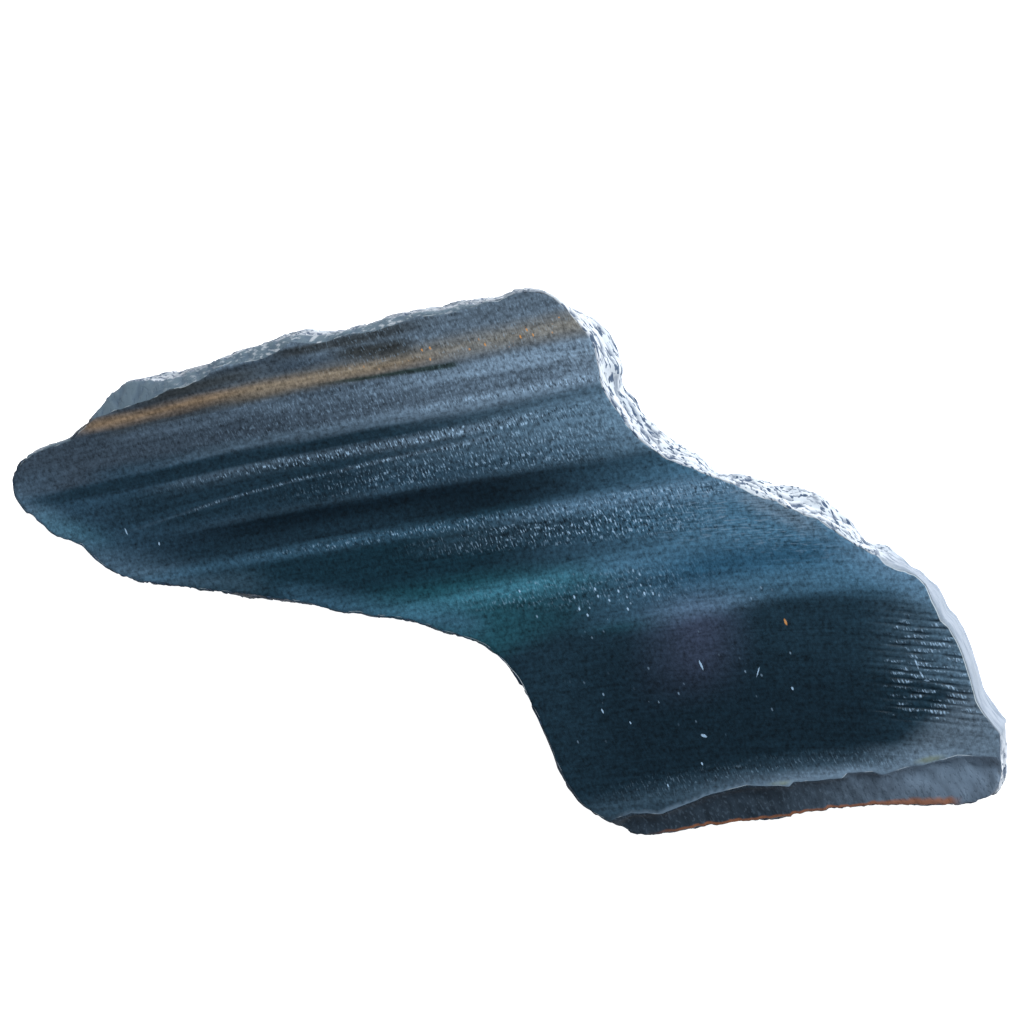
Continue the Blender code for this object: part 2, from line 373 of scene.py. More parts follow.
# The seam's beds: name, colour, strength, (x, height across the beds, half width) at the left and
# at the right in mm, softness of the sides, and how slowly it begins and ends. Their light and dark
# are partly the stone's own banding and partly its chatoyant sheen, painted in.
BEDS = [
    ("left field", "deep", 1,
     (-65.9, 8.61, 14.72), (-11.5, 6.47, 9.95), 0.68, (3, 42.7)),
    ("tip", "slate", 1,
     (-67.9, 21.47, 1.93), (-45.6, 21.2, 2.19), 0.7, (3, 8.4)),
    ("teal tip", "sea", 0.69,
     (-62.3, 17.16, 3.52), (-46.3, 9.19, 1.3), 2.16, (2, 15.4)),
    ("left shore", "sea", 0.43,
     (-56.8, 10.24, 1.89), (-25.4, 1.1, 0.76), 2.88, (4, 7)),
    ("upper field", "slate", 1,
     (-67.6, 27.23, 6.18), (24.0, 26.6, 6.4), 0.71, (3, 4)),
    # Painted sheen: the upper field grows paler towards the window's side.
    ("upper field, paler to the right", "mist", 0.98,
     (-40.3, 21.03, 3.8), (27.3, 22.64, 2.18), 1.01, (62, 2)),
    ("grey above the gold", "ash", 0.62,
     (-31.5, 32.99, 1.7), (16.9, 27.07, 6.64), 1.8, (12.6, 4.2)),
    ("grey streak above the gold", "ash", 0.49,
     (-41.3, 27.77, 0.77), (-24.7, 28.29, 1.24), 0.34, (10, 6.2)),
    ("shoulder", "ash", 1,
     (-53.6, 29.35, 2.17), (-21.9, 31.9, 0.87), 0.5, (3.8, 5.6)),
    ("lower edge of the pale field", "mist", 0.22,
     (-53.1, 19.62, 0.72), (19.5, 20.86, 0.34), 0.36, (20.4, 3)),
    ("upper edge of the pale field", "mist", 0.68,
     (-15.9, 23.0, 1.22), (18.8, 25.04, 0.94), 0.47, (28, 3)),
    ("middle of the pale field", "slate", 0.52,
     (-53.4, 21.65, 1.47), (19.8, 22.07, 0.9), 0.55, (7.9, 16.8)),
    ("upper streak of the pale field", "slate", 1,
     (-52.6, 22.53, 0.62), (-22.0, 21.83, 0.96), 0.28, (8, 8.4)),
    ("under the gold", "umber", 0.52,
     (-51.5, 25.03, 0.68), (-13.5, 25.65, 0.28), 0.4, (5.6, 18.5)),
    ("middle field", "sea", 1,
     (-23.9, 13.83, 3.26), (36.0, 15.96, 4.45), 1.44, (60.3, 3)),
    ("middle field, lower", "deep", 0.66,
     (-21.1, 11.56, 1.71), (20.9, 12.55, 0.6), 1.54, (8.4, 8.4)),
    ("blue field", "blue", 1,
     (-3.1, 2.91, 7.75), (67.9, 0.41, 8.39), 2.52, (41.9, 3)),
    ("dark field below the blue line", "abyss", 0.46,
     (-43.6, 3.08, 3.2), (9.1, 1.23, 5.99), 0.7, (10.8, 12.6)),
    ("speckled field", "sea", 0.09,
     (-11.9, 4.64, 2.06), (20.6, 3.26, 1.2), 0.7, (9.9, 15.2)),
    ("teal field", "teal", 0.6,
     (-22.9, -9.49, 8.19), (20.7, -3.46, 2.4), 1.82, (12.6, 25.2)),
    ("first dark band", "night", 1,
     (-63.7, 18.66, 0.45), (3.6, 17.39, 1.71), 0.43, (11.2, 19.6)),
    ("second dark band", "ink", 0.87,
     (-51.6, 9.09, 1.86), (26.3, 8.8, 1.96), 0.79, (25.6, 34.1)),
    ("second dark band, lower", "night", 0.8,
     (-46.2, 6.46, 2.0), (2.4, 7.55, 1.41), 1.26, (12.9, 16.6)),
    ("glinting streak", "mist", 0.45,
     (-46.6, 16.22, 0.86), (11.1, 17.06, 0.35), 0.52, (14, 14.1)),
    ("thin line", "mist", 0.35,
     (-50.0, 11.95, 0.1), (-20.0, 14.75, 0.15), 0.22, (20, 3)),
    ("thin line, on", "mist", 0.3,
     (-23.0, 14.5, 0.14), (5.0, 15.7, 0.25), 0.25, (4, 9.8)),
    ("dark under the thin line", "night", 1,
     (-47.1, 12.02, 0.51), (-13.0, 13.56, 0.93), 0.7, (9.5, 7.5)),
    ("dark over the thin line", "night", 0.87,
     (-51.5, 14.62, 1.94), (-9.0, 16.06, 0.84), 0.76, (8.8, 11.5)),
    ("pale streak over the dark band", "sea", 0.06,
     (-41.7, 10.69, 0.45), (-1.6, 11.55, 0.2), 0.35, (9.8, 12.7)),
    ("blue line", "blue", 0.42,
     (-49.7, 5.66, 0.45), (7.7, 5.74, 0.71), 0.77, (7.6, 16.6)),
    ("blue line, on", "sky", 0.83,
     (-4.8, 5.41, 0.2), (37.2, 5.51, 1.82), 0.94, (16.7, 11.7)),
    ("lagoon", "lagoon", 1,
     (-17.1, -4.21, 0.35), (18.7, -2.75, 1.14), 1.41, (14, 14)),
    ("lagoon shore", "blue", 0.45,
     (-28.6, 0.38, 1.89), (1.6, -7.87, 1.23), 1.8, (4.3, 5.8)),
    ("lagoon, on", "blue", 0.57,
     (8.0, -1.93, 0.74), (27.7, -2.86, 1.71), 0.64, (8.7, 7)),
    ("denim streak", "denim", 0.73,
     (14.7, -4.61, 2.01), (50.4, -2.19, 1.6), 1.8, (12.6, 12.5)),
    ("shore of the navy", "blue", 0.31,
     (8.9, -7.92, 2.25), (58.6, -5.81, 0.45), 0.68, (7, 10)),
    ("lavender shore", "sky", 0.87,
     (16.1, -9.43, 1.17), (37.0, -7.65, 0.39), 1.44, (9.6, 9.8)),
    ("pale end", "sky", 1,
     (36.8, -0.37, 1.6), (63.1, -6.39, 5.88), 2.32, (11.5, 2)),
    ("comb field", "sea", 0.5,
     (43.4, -12.48, 4.2), (63.0, -12.26, 6.63), 0.98, (18.2, 2)),
    ("plum", "plum", 0.46,
     (15.1, -13.08, 5.81), (33.5, -12.72, 4.81), 3.64, (12.3, 9.3)),
    ("navy heart", "ink", 0.5,
     (6.4, -21.19, 10.57), (52.6, -23.21, 4.51), 4.68, (13.1, 8.7)),
    ("green slope", "teal", 0.21,
     (7.0, -9.56, 0.45), (23.6, -9.96, 0.87), 0.84, (9.4, 7.5)),
    # The next two beds are the painted highlight along the lip.
    ("pale band over the lip", "sea", 0.19,
     (6.7, -32.29, 0.35), (63.6, -28.29, 3.63), 1.79, (5.9, 2)),
    ("the lip", "mist", 0.64,
     (28.9, -31.18, 0.75), (52.0, -28.03, 0.18), 1.08, (7.5, 4.2)),
    ("grey corner", "ash", 0.62,
     (44.8, -31.67, 1.08), (63.1, -22.57, 9.36), 2.52, (8.3, 2)),
    ("gold band", "gold", 0.85,
     (-54.7, 26.38, 0.67), (-2.5, 26.45, 0.59), 0.68, (5.3, 9.8)),
    ("gold fades brown", "bronze", 0.64,
     (-37.6, 26.07, 0.5), (18.1, 27.51, 1.38), 1.39, (9.8, 3)),
    ("dark wedge above the gold", "umber", 0.75,
     (-50.3, 27.88, 0.93), (-24.1, 28.52, 0.77), 0.69, (11, 9.1)),
    ("upper dark streak", "umber", 0.72,
     (-29.3, 29.95, 0.63), (-4.4, 30.72, 0.69), 0.34, (5.6, 8.8)),
    ("dark patch above the gold", "umber", 0.84,
     (-21.1, 29.32, 1.01), (-7.6, 27.83, 1.15), 0.72, (4.6, 4.2)),
    ("dark green wedge", "moss", 0.85,
     (-24.0, 25.65, 0.1), (-3.4, 24.95, 0.42), 0.25, (8, 1.2)),
    ("brown patch", "ash", 0.65,
     (28.2, 5.32, 1.21), (41.4, -0.31, 1.54), 1.06, (4.4, 4)),
    ("pale streak at the right of the shoulder", "ash", 0.3,
     (-26.0, 29.15, 0.15), (-12.0, 29.5, 0.15), 0.22, (4, 3)),
    ("dark streak over the gold", "umber", 0.45,
     (-21.0, 28.8, 0.15), (-9.0, 28.5, 0.3), 0.25, (4, 3)),
    ("teal shore", "lagoon", 0.35,
     (-59.0, 16.2, 1.6), (-46.0, 10.5, 1.0), 1.5, (2, 8)),
    ("under the blue line", "night", 0.35,
     (-9.0, 3.4, 0.8), (16.0, 3.0, 1.3), 1, (4, 6)),
    ("dark streak in the grey field", "night", 0.3,
     (-13.0, 12.1, 0.5), (7.0, 12.2, 0.6), 0.7, (4, 4)),
    ("pale under the gold", "mist", 0.13,
     (-50.0, 24.0, 0.9), (-22.0, 24.0, 0.9), 0.7, (6, 4)),
    ("blue tip", "sky", 0.16,
     (-64.0, 20.5, 2.0), (-52.0, 20.5, 1.5), 1.5, (1, 6)),
    ("pale over the corner", "mist", 0.22,
     (44.0, -27.3, 1.0), (58.0, -26.4, 1.4), 1, (4, 3)),
    ("right edge", "mist", 0.12,
     (53.0, -15.0, 12.0), (66.0, -15.0, 12.0), 3, (6, 1)),
]
# Where the cut fibres glint, painted into the colour as highlights, given in the same way without a
# colour.
GLINTS = [
    ("glinting streak", 1.0, (-46, 16.6, 0.3), (16, 16.9, 0.9), 0.4, (22, 8)),
    ("thin line", 1.0, (-42, 12.7, 0.1), (-20, 14.8, 0.15), 0.25, (12, 4)),
    ("thin line, on", 0.9, (-26, 14.4, 0.15), (8, 15.6, 0.5), 0.35, (5, 8)),
    ("below the thin line", 0.6, (-30, 12.6, 0.8), (18, 13.4, 2.4), 0.9, (22, 8)),
    ("pale field", 0.3, (-52, 22.6, 2.0), (20, 22.8, 2.6), 0.7, (36, 3)),
    ("lower edge of the pale field", 0.9, (-16, 20.3, 0.3), (18, 20.6, 0.5), 0.3, (16, 3)),
    ("above the gold", 0.2, (-30, 29.0, 2.4), (12, 28.6, 3.0), 0.7, (16, 3)),
    ("blue line", 0.8, (-34, 5.8, 0.2), (34, 5.4, 0.9), 0.5, (20, 8)),
    ("speckled field", 0.9, (-14, 3.6, 0.9), (30, 2.8, 2.5), 0.8, (24, 12)),
    ("lagoon", 0.3, (-8, -3.6, 0.8), (30, -5.6, 2.6), 1.2, (12, 12)),
    ("over the lip", 0.2, (12, -30.2, 0.8), (54, -27.4, 1.4), 1.0, (8, 6)),
]
# Nicks in the upper cut: centre, length and width in mm, and how far they lean over from upright.
NICKS = [
    (25.9, -11.4, 1.5, 0.28, 24),
    (32.7, -12.0, 1.5, 0.16, -16),
    (26.3, -19.9, 0.9, 0.4, 70),
    (36.8, -13.8, 0.5, 0.3, 30),
    (14.0, -17.4, 0.7, 0.22, 26),
    (17.4, -18.7, 0.5, 0.2, 26),
    (26.1, -23.3, 0.5, 0.2, 26),
    (22.0, -26.1, 0.5, 0.2, 26),
    (31.6, -28.7, 0.7, 0.25, 30),
    (-46.2, 2.8, 1.1, 0.2, 24),
    (-41.9, 1.4, 0.5, 0.22, 10),
    (51.3, -10.4, 1.5, 0.22, 22),
    (51.9, -11.6, 1.0, 0.24, 34),
    (52.5, -12.3, 0.8, 0.24, 80),
]


def light_of(name):
    """A named colour as the linear colour that Blender mixes."""
    shares = [value / 255 for value in COLOURS[name]]
    return [s / 12.92 if s < 0.04045 else ((s + 0.055) / 1.055) ** 2.4 for s in shares] + [1.0]


# The colours of the upper cut are given as they look there under the window: that light is
# weaker than a full one, and the sheen of the cut adds a little of its own.
WINDOW_LIGHT = 0.937
SHEEN = (0.0046, 0.004, 0.0036)


def cut_light(name):
    """A named colour of the upper cut, with the light and the sheen taken off."""
    shares = [(value - sheen) / WINDOW_LIGHT for value, sheen in zip(light_of(name), SHEEN)]
    return [min(0.9, max(0.001, share)) for share in shares] + [1.0]


def fill(tree, node, inputs):
    """Gives each of a node's inputs a value or another node's output."""
    for key, value in inputs.items():
        if isinstance(value, bpy.types.NodeSocket):
            tree.links.new(value, node.inputs[key])
        else:
            node.inputs[key].default_value = value


def add(tree, kind, inputs, **settings):
    """A new node with its settings and inputs."""
    node = tree.nodes.new("ShaderNode" + kind)
    for name, value in settings.items():
        setattr(node, name, value)
    fill(tree, node, inputs)
    return node


def sums(tree, operation, *values):
    """The result of a Math node."""
    return add(tree, "Math", dict(enumerate(values)), operation=operation).outputs[0]


def times(tree, one, other):
    """One value multiplied by another."""
    return sums(tree, "MULTIPLY", one, other)


def blend(tree, amount, under, over, mode="MIX"):
    """The result of a colour mix."""
    node = add(
        tree, "Mix", {"Factor": amount, 6: under, 7: over}, data_type="RGBA", blend_type=mode
    )
    return node.outputs[2]


def ramp(tree, value, low, high, to_low=0.0, to_high=1.0):
    """A smooth step from to_low to to_high as the value goes from low to high."""
    node = add(
        tree, "MapRange",
        {"Value": value, "From Min": low, "From Max": high, "To Min": to_low, "To Max": to_high},
        interpolation_type="SMOOTHSTEP", clamp=False
    )
    return node.outputs["Result"]


def new_group(name, inputs, outputs):
    """A node group: an input has a name and a number or vector, an output a name and a kind."""
    group = bpy.data.node_groups.new(name, "ShaderNodeTree")
    for label, value in inputs.items():
        kind = "Vector" if isinstance(value, tuple) else "Float"
        socket = group.interface.new_socket(label, in_out="INPUT", socket_type="NodeSocket" + kind)
        socket.default_value = value
    for label, kind in outputs.items():
        group.interface.new_socket(label, in_out="OUTPUT", socket_type="NodeSocket" + kind)
    given = group.nodes.new("NodeGroupInput").outputs
    return group, given, group.nodes.new("NodeGroupOutput").inputs


def use(tree, group, inputs):
    """A group placed in a material with its own values."""
    node = tree.nodes.new("ShaderNodeGroup")
    node.node_tree = group
    fill(tree, node, inputs)
    return node.outputs


# Place in the seam, in mm: x along the beds, and height across them once their long bend is taken
# out. The beds dip as they go down through the stone.
BEND_X = (-74, -59.2, -42.2, -32.2, -22.2, -12.2, -2.2, 2.8, 12.8, 22.8, 32.8, 42.8, 52.8, 62.8, 70)
BEND_Y = (-16, -12.6, -8.65, -6.35, -4.45, -2.55, -0.65, 0.3, 2.1, 3.7, 4.9, 5.5, 5.3, 4.5, 3.9)
BEND_SPAN = 80.0
DIP = 0.35

seam_place, _, result = new_group(
    "place in the seam", {}, {"X": "Float", "Height": "Float", "Place": "Vector"}
)
tree = seam_place
here = add(tree, "TexCoord", {}).outputs["Object"]
place = add(tree, "VectorMath", {0: here, "Scale": 1 / MM}, operation="SCALE").outputs["Vector"]
xyz = add(tree, "SeparateXYZ", {0: place}).outputs
share = sums(tree, "MULTIPLY_ADD", xyz["X"], 0.5 / BEND_SPAN, 0.5)
bend = add(tree, "FloatCurve", {"Value": share})
points = bend.mapping.curves[0].points
places = [(0.5 + 0.5 * x / BEND_SPAN, 0.5 + 0.5 * y / BEND_SPAN) for x, y in zip(BEND_X, BEND_Y)]
points[0].location = places[0]
points[-1].location = places[-1]
for x, y in places[1:-1]:
    points.new(x, y)
bend.mapping.update()
bent = sums(tree, "MULTIPLY_ADD", bend.outputs[0], 2 * BEND_SPAN, -BEND_SPAN)
height = sums(tree, "SUBTRACT", xyz["Y"], bent)
sunk = sums(tree, "MULTIPLY_ADD", xyz["Z"], DIP, -DIP * thickness / MM)
height = sums(tree, "ADD", height, sunk)
# The beds waver a little, and the fibre ends are ragged.
drift_at = add(tree, "CombineXYZ", {
    "X": times(tree, xyz["X"], 0.1),
    "Y": times(tree, height, 0.7),
    "Z": 3.0,
}).outputs[0]
drift = add(tree, "TexNoise", {"Vector": drift_at, "Scale": 1.0, "Detail": 3.0}).outputs["Fac"]
drift = sums(tree, "MULTIPLY_ADD", drift, 0.7, -0.35)
RAGGED = (0.13, 0.13, 0.13)
ragged = add(tree, "TexNoise", {"Vector": place, "Scale": 4.0, "Detail": 1.0}).outputs["Color"]
ragged = add(tree, "VectorMath", {0: ragged, 1: RAGGED, 2: place}, operation="MULTIPLY_ADD")
tree.links.new(sums(tree, "ADD", xyz["X"], drift), result["X"])
tree.links.new(sums(tree, "ADD", height, drift), result["Height"])
tree.links.new(ragged.outputs["Vector"], result["Place"])

# One bed of the seam, thinning from one end to the other, soft at its sides and its ends.
bed, given, result = new_group("one bed", {
    "X": 0, "Height": 0, "Left X": -10, "Left Height": 0, "Left Width": 1, "Right X": 10,
    "Right Height": 0, "Right Width": 1, "Softness": 0.5, "Begin": 4, "End": 4, "Strength": 1,
}, {"Mask": "Float"})
tree = bed
way = sums(tree, "SUBTRACT", given["X"], given["Left X"])
left = sums(tree, "SUBTRACT", given["Right X"], given["X"])
share = sums(tree, "DIVIDE", way, sums(tree, "SUBTRACT", given["Right X"], given["Left X"]))
rise = sums(tree, "SUBTRACT", given["Right Height"], given["Left Height"])
middle = sums(tree, "MULTIPLY_ADD", share, rise, given["Left Height"])
widen = sums(tree, "SUBTRACT", given["Right Width"], given["Left Width"])
share = sums(tree, "MINIMUM", sums(tree, "MAXIMUM", share, 0.0), 1.0)
width = sums(tree, "MULTIPLY_ADD", share, widen, given["Left Width"])
off = sums(tree, "ABSOLUTE", sums(tree, "SUBTRACT", given["Height"], middle))
off = sums(tree, "SUBTRACT", off, width)
mask = ramp(tree, off, given["Softness"], times(tree, given["Softness"], -1.0))
mask = times(tree, mask, ramp(tree, way, 0.0, given["Begin"]))
mask = times(tree, mask, ramp(tree, left, 0.0, given["End"]))
tree.links.new(times(tree, mask, given["Strength"]), result["Mask"])


def bed_mask(tree, seam, strength, start, end, softness, fades):
    """How much of a bed there is at a place in the seam."""
    return use(tree, bed, {
        "X": seam["X"], "Height": seam["Height"], "Strength": strength,
        "Left X": start[0], "Left Height": start[1], "Left Width": start[2],
        "Right X": end[0], "Right Height": end[1], "Right Width": end[2],
        "Softness": softness, "Begin": fades[0], "End": fades[1],
    })["Mask"]


# The seam's colour: all the beds laid over each other.
seam_colour, given, result = new_group(
    "beds of the seam", {"X": 0, "Height": 0}, {"Color": "Color"}
)
tree = seam_colour
colour = cut_light("night")
for _, name, strength, start, end, softness, fades in BEDS:
    mask = bed_mask(tree, given, strength, start, end, softness, fades)
    colour = blend(tree, mask, colour, cut_light(name))
tree.links.new(colour, result["Color"])

# Streaks along the beds.
streaks, given, result = new_group(
    "streaks along the beds", {"X": 0, "Height": 0, "Length": 20, "Width": 0.4, "Seed": 0},
    {"Value": "Float"}
)
tree = streaks
at = add(tree, "CombineXYZ", {
    "X": sums(tree, "DIVIDE", given["X"], given["Length"]),
    "Y": sums(tree, "DIVIDE", given["Height"], given["Width"]),
    "Z": given["Seed"],
}).outputs[0]
value = add(tree, "TexNoise", {"Vector": at, "Scale": 1.0, "Detail": 3.0}).outputs["Fac"]
tree.links.new(value, result["Value"])

# The cut ends of the fibres: short dashes that lean, some bright and some dark; on the upper cut
# they give painted glints and the painted shade beside them. Larger flecks sit in cells of their
# own, and luck says which of them show.
dashes, given, result = new_group(
    "cut fibres", {"Place": (0, 0, 0), "Length": 0.8, "Width": 0.25, "Seed": 0},
    {"Glint": "Float", "Gap": "Float", "Hatch": "Float", "Fleck": "Float", "Luck": "Float"}
)
tree = dashes
place = given["Place"]
ACROSS = Vector((FIBRE.y, -FIBRE.x, 0))
along = add(tree, "VectorMath", {0: place, 1: FIBRE}, operation="DOT_PRODUCT").outputs["Value"]
across = add(tree, "VectorMath", {0: place, 1: ACROSS}, operation="DOT_PRODUCT").outputs["Value"]
deep = add(tree, "SeparateXYZ", {0: place}).outputs["Z"]
at = add(tree, "CombineXYZ", {
    "X": sums(tree, "DIVIDE", across, given["Width"]),
    "Y": sums(tree, "DIVIDE", along, given["Length"]),
    "Z": sums(tree, "ADD", deep, given["Seed"]),
}).outputs[0]
hatch = add(tree, "TexNoise", {"Vector": at, "Scale": 1.0, "Detail": 1.5}).outputs["Fac"]
glint = ramp(tree, hatch, 0.56, 0.66)
gap = ramp(tree, hatch, 0.45, 0.33)
cells = add(tree, "TexVoronoi", {"Vector": at, "Scale": 0.34})
luck = add(tree, "SeparateColor", {0: cells.outputs["Color"]}).outputs[0]
tree.links.new(hatch, result["Hatch"])
tree.links.new(ramp(tree, cells.outputs["Distance"], 0.28, 0.1), result["Fleck"])
tree.links.new(luck, result["Luck"])
tree.links.new(glint, result["Glint"])
tree.links.new(gap, result["Gap"])

# One nick: a dash of its own.
nick, given, result = new_group("one nick", {
    "Place": (0, 0, 0), "X": 0, "Y": 0, "Length": 1, "Width": 0.2, "Lean": 0, "Core": 0.3,
}, {"Mask": "Float"})
tree = nick
xyz = add(tree, "SeparateXYZ", {0: given["Place"]}).outputs
x = sums(tree, "SUBTRACT", xyz["X"], given["X"])
y = sums(tree, "SUBTRACT", xyz["Y"], given["Y"])
lean = sums(tree, "RADIANS", given["Lean"])
cosine, sine = sums(tree, "COSINE", lean), sums(tree, "SINE", lean)
along = sums(tree, "SUBTRACT", times(tree, y, cosine), times(tree, x, sine))
across = sums(tree, "ADD", times(tree, x, cosine), times(tree, y, sine))
far = add(tree, "CombineXYZ", {
    "X": sums(tree, "DIVIDE", across, given["Width"]),
    "Y": sums(tree, "DIVIDE", along, given["Length"]),
}).outputs[0]
far = add(tree, "VectorMath", {0: far}, operation="LENGTH").outputs["Value"]
tree.links.new(ramp(tree, far, 0.5, given["Core"]), result["Mask"])


def stone(name, roughness):
    """A material of the stone, its node tree and its shader."""
    material = bpy.data.materials.new(name)
    material.use_nodes = True
    shader = material.node_tree.nodes["Principled BSDF"]
    shader.inputs["Specular IOR Level"].default_value = 0.15
    shader.inputs["Roughness"].default_value = roughness
    return material, material.node_tree, shader


def attribute(tree, name):
    """What the mesh knows of a place, by name."""
    return add(tree, "Attribute", {}, attribute_name=name).outputs["Fac"]


# Stains on the upper cut: colour, strength, centre, length and width in mm, lean, and full core.
STAINS = [
    ("amber", 0.8, 35.9, -5.9, 1.1, 0.4, 24, 0.2),
    ("lichen", 0.5, 35.6, -25.3, 5.0, 1.1, -80, 0.0),
    ("lichen", 0.5, 53.0, -21.6, 5.0, 1.2, -76, 0.0),
]

# Sawn stone: the beds, their streaks, the cut fibres, the nicks, the rim and the lip.
sawn_stone, tree, shader = stone("sawn blue tiger's eye", 0.42)
seam = use(tree, seam_place, {})
flat = {"X": seam["X"], "Height": seam["Height"]}
solid = {"Place": seam["Place"]}
colour = use(tree, seam_colour, flat)["Color"]
broad = use(tree, streaks, flat | {"Length": 14, "Width": 0.5, "Seed": 2})["Value"]
fine = use(tree, streaks, flat | {"Length": 1.6, "Width": 0.22, "Seed": 9})["Value"]
grain = add(tree, "TexNoise", {"Vector": seam["Place"], "Scale": 2.6, "Detail": 2.0}).outputs["Fac"]
mottle = use(tree, dashes, solid | {"Length": 1.1, "Width": 0.8, "Seed": 3})["Hatch"]
glinting = 0.0
for _, strength, start, end, softness, fades in GLINTS:
    mask = bed_mask(tree, seam, strength, start, end, softness, fades)
    glinting = sums(tree, "MAXIMUM", glinting, mask)
# The shade is a sum of all these, about 1 on the whole.
cut = use(tree, dashes, solid | {"Length": 0.7, "Width": 0.2, "Seed": 0})
hatch = sums(tree, "SUBTRACT", cut["Hatch"], 0.5)
hatch = times(tree, hatch, sums(tree, "MULTIPLY_ADD", glinting, 0.7, 0.5))
shade = sums(tree, "MULTIPLY_ADD", broad, 0.9, sums(tree, "MULTIPLY_ADD", fine, 0.2, -0.71))
shade = sums(tree, "MULTIPLY_ADD", grain, 1.8, sums(tree, "MULTIPLY_ADD", mottle, 0.5, shade))
shade = sums(tree, "ADD", shade, hatch)
shade = add(tree, "CombineColor", {0: shade, 1: shade, 2: shade}).outputs[0]
colour = blend(tree, 1.0, colour, shade, "MULTIPLY")
# In the blue field the fibre ends stand in rows along the beds.
rowed = bed_mask(tree, seam, 0.45, (12, 4.4, 2), (46, 1, 6), 2.0, (14, 10))
gap = times(tree, rowed, ramp(tree, fine, 0.45, 0.34))
colour = blend(tree, gap, colour, cut_light("ink"))
glint = times(tree, rowed, ramp(tree, fine, 0.54, 0.66))
colour = blend(tree, glint, colour, cut_light("mist"))
# Painted glints of the cut fibres and painted shade in the gaps beside them, the glints in rows
# too.
rows = use(tree, streaks, flat | {"Length": 6, "Width": 0.4, "Seed": 5})["Value"]
gap = times(tree, cut["Gap"], times(tree, glinting, 0.75))
colour = blend(tree, gap, colour, cut_light("ink"))
rows = ramp(tree, rows, 0.38, 0.58, 0.15)
glint = times(tree, cut["Glint"], times(tree, glinting, rows))
colour = blend(tree, times(tree, glint, 0.85), colour, cut_light("frost"))
# Flecks: a few larger fibre ends, amber in the gold, white below the lagoon and here and there.
flecks = use(tree, dashes, solid | {"Length": 0.34, "Width": 0.18, "Seed": 6})
amber = bed_mask(tree, seam, 0.5, (-18, 26.5, 0.5), (13, 27.3, 1.3), 0.6, (6, 3))
amber = ramp(tree, sums(tree, "ADD", amber, flecks["Luck"]), 1.0, 1.1)
colour = blend(tree, times(tree, amber, flecks["Fleck"]), colour, cut_light("amber"))
fleck = bed_mask(tree, seam, 0.6, (0, -5.0, 2.4), (24, -7.0, 2.4), 2.0, (8, 8))
sparse = bed_mask(tree, seam, 0.1, (6, -16, 9), (44, -14, 11), 3.0, (4, 8))
fleck = sums(tree, "MAXIMUM", fleck, sparse)
fleck = ramp(tree, sums(tree, "ADD", fleck, flecks["Luck"]), 1.0, 1.2)
colour = blend(tree, times(tree, fleck, flecks["Fleck"]), colour, cut_light("frost"))
for name, strength, x, y, length, width, lean, core in STAINS:
    shape = {"X": x, "Y": y, "Length": length, "Width": width, "Lean": lean, "Core": core}
    mask = use(tree, nick, solid | shape)["Mask"]
    colour = blend(tree, times(tree, mask, strength), colour, cut_light(name))
scratches = 0.0
for x, y, length, width, lean in NICKS:
    shape = {"X": x, "Y": y, "Length": length, "Width": width, "Lean": lean}
    mask = use(tree, nick, solid | shape)["Mask"]
    scratches = sums(tree, "MAXIMUM", scratches, mask)
colour = blend(tree, times(tree, scratches, 0.8), colour, cut_light("frost"))
# A painted highlight along the lip over the fresh break, wide and faint, then narrow and strong.
lip_way = attribute(tree, "lip")
lip_share = ramp(tree, seam["X"], 16, 34)
lip_end = ramp(tree, seam["X"], 54, 44)
pale = times(tree, ramp(tree, lip_way, 2.4, 0.2, 0.0, 0.16), lip_share)
colour = blend(tree, pale, colour, cut_light("mist"))
pale = times(tree, ramp(tree, lip_way, 0.7, 0.05, 0.0, 0.6), ramp(tree, seam["X"], 13, 20))
pale = times(tree, pale, lip_end)
colour = blend(tree, pale, colour, cut_light("mist"))
# The comb: painted shade in its grooves, painted highlights and frost-white glints on its ridges.
groove = ramp(tree, attribute(tree, "groove"), 0.0, 0.8, 0.0, 0.6)
colour = blend(tree, groove, colour, cut_light("ink"))
comb = attribute(tree, "comb")
colour = blend(tree, ramp(tree, comb, 0.5, 1.0, 0.0, 0.2), colour, cut_light("mist"))
ridge_glint = ramp(tree, cut["Hatch"], 0.5, 0.64, 0.0, 0.6)
comb = times(tree, ramp(tree, comb, 0.4, 0.85), ridge_glint)
colour = blend(tree, comb, colour, cut_light("frost"))
# The rim: painted shade, or a painted highlight.
rim_near = ramp(tree, attribute(tree, "edge"), 0.25, 0.9)
colour = blend(tree, times(tree, rim_near, 0.95), colour, cut_light("ink"))
# Painted highlight on the rim.
rim_near = ramp(tree, attribute(tree, "rim_highlight"), 0.25, 0.9)
colour = blend(tree, times(tree, rim_near, 0.8), colour, cut_light("white"))
relief = sums(tree, "SUBTRACT", times(tree, cut["Glint"], 0.6), cut["Gap"])
bump = add(tree, "Bump", {"Height": relief, "Strength": 0.15, "Distance": 0.05 * MM}).outputs[0]
tree.links.new(colour, shader.inputs["Base Color"])
tree.links.new(bump, shader.inputs["Normal"])
tree.links.new(sums(tree, "MULTIPLY_ADD", fine, 0.2, 0.32), shader.inputs["Roughness"])

